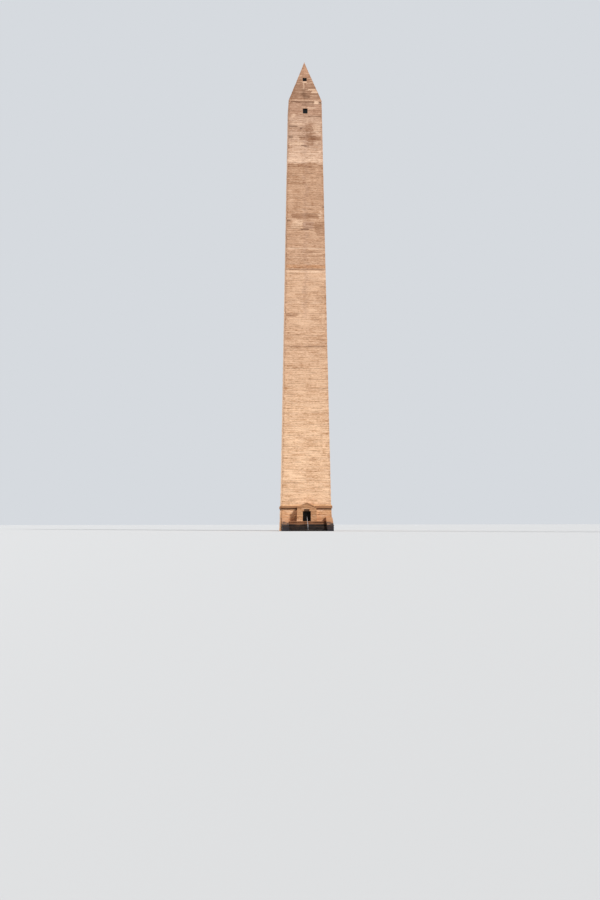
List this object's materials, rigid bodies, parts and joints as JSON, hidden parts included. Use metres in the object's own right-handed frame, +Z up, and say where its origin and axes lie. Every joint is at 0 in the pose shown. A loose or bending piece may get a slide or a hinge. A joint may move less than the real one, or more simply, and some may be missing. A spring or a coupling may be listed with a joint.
{
  "type": "1:10 scale model of a memorial obelisk",
  "caption": "Tall hollow concrete obelisk with lift lines and small windows, on a battered pedestal with a gabled porch, double doors and a stair between cheek walls, 1:10.",
  "frame": {"origin": "on the shaft's axis at ground level, in the middle of the foundation's underside", "axes": "+Z up, -Y out of the entrance porch and stair, +X to the right of someone facing the porch"},
  "size_m": [1.1186, 1.7855, 10.6985],
  "materials": {
    "shaft_concrete": "weathered tan concrete with lift lines",
    "upper_concrete": "weathered greyer concrete with stains",
    "pedestal_concrete": "weathered tan concrete",
    "porch_concrete": "weathered brownish concrete",
    "stair_concrete": "damp, darkened concrete",
    "interior_concrete": "board-marked concrete",
    "door_bronze": "dark patinated bronze",
    "bronze_fittings": "worn bronze",
    "transom_bronze": "brown patinated bronze",
    "rail_steel": "galvanised, weathered",
    "window_frame_metal": "dark paint",
    "window_glass": "dark, dusty"
  },
  "bodies": {
    "monument": {"belt_course": "pedestal_concrete", "cheek_copings": "stair_concrete", "cheek_wall_left": "stair_concrete", "cheek_wall_right": "stair_concrete", "door_frame": "door_bronze", "foundation": "pedestal_concrete", "frame_hinges": "bronze_fittings", "hall_floor": "interior_concrete", "handrail_posts": "rail_steel", "handrail_rails": "rail_steel", "landing_slab": "stair_concrete", "loft_floor": "interior_concrete", "observation_floor": "interior_concrete", "observation_front_wall": "upper_concrete", "observation_left_wall": "upper_concrete", "observation_rear_wall": "upper_concrete", "observation_right_wall": "upper_concrete", "pedestal_front_left_wall": "pedestal_concrete", "pedestal_front_lintel": "pedestal_concrete", "pedestal_front_right_wall": "pedestal_concrete", "pedestal_left_wall": "pedestal_concrete", "pedestal_rear_wall": "pedestal_concrete", "pedestal_right_wall": "pedestal_concrete", "porch_coping": "porch_concrete", "porch_gable": "porch_concrete", "porch_left_jamb": "porch_concrete", "porch_right_jamb": "porch_concrete", "pyramid_cap": "upper_concrete", "pyramid_front_slope": "upper_concrete", "pyramid_left_slope": "upper_concrete", "pyramid_rear_slope": "upper_concrete", "pyramid_right_slope": "upper_concrete", "shaft_lower_stage": "shaft_concrete", "shaft_middle_stage": "shaft_concrete", "shaft_upper_stage": "upper_concrete", "stair_bed": "stair_concrete", "steps_even": "stair_concrete", "steps_odd": "stair_concrete", "transom_panel": "transom_bronze", "window_frames": "window_frame_metal", "window_panes": "window_glass"},
    "left_door": {"door_left": "door_bronze", "door_left_fittings": "bronze_fittings"},
    "right_door": {"door_right": "door_bronze", "door_right_fittings": "bronze_fittings"}
  },
  "joints": [
    {"name": "left_door_hinge", "type": "hinge", "parent": "monument", "child": "left_door", "pos_m": [-0.0762, -0.62436, 0.30937], "axis": [0, 0, 1], "range_deg": [0, 90]},
    {"name": "right_door_hinge", "type": "hinge", "parent": "monument", "child": "right_door", "pos_m": [0.0762, -0.62436, 0.30937], "axis": [0, 0, -1], "range_deg": [0, 90]}
  ]
}
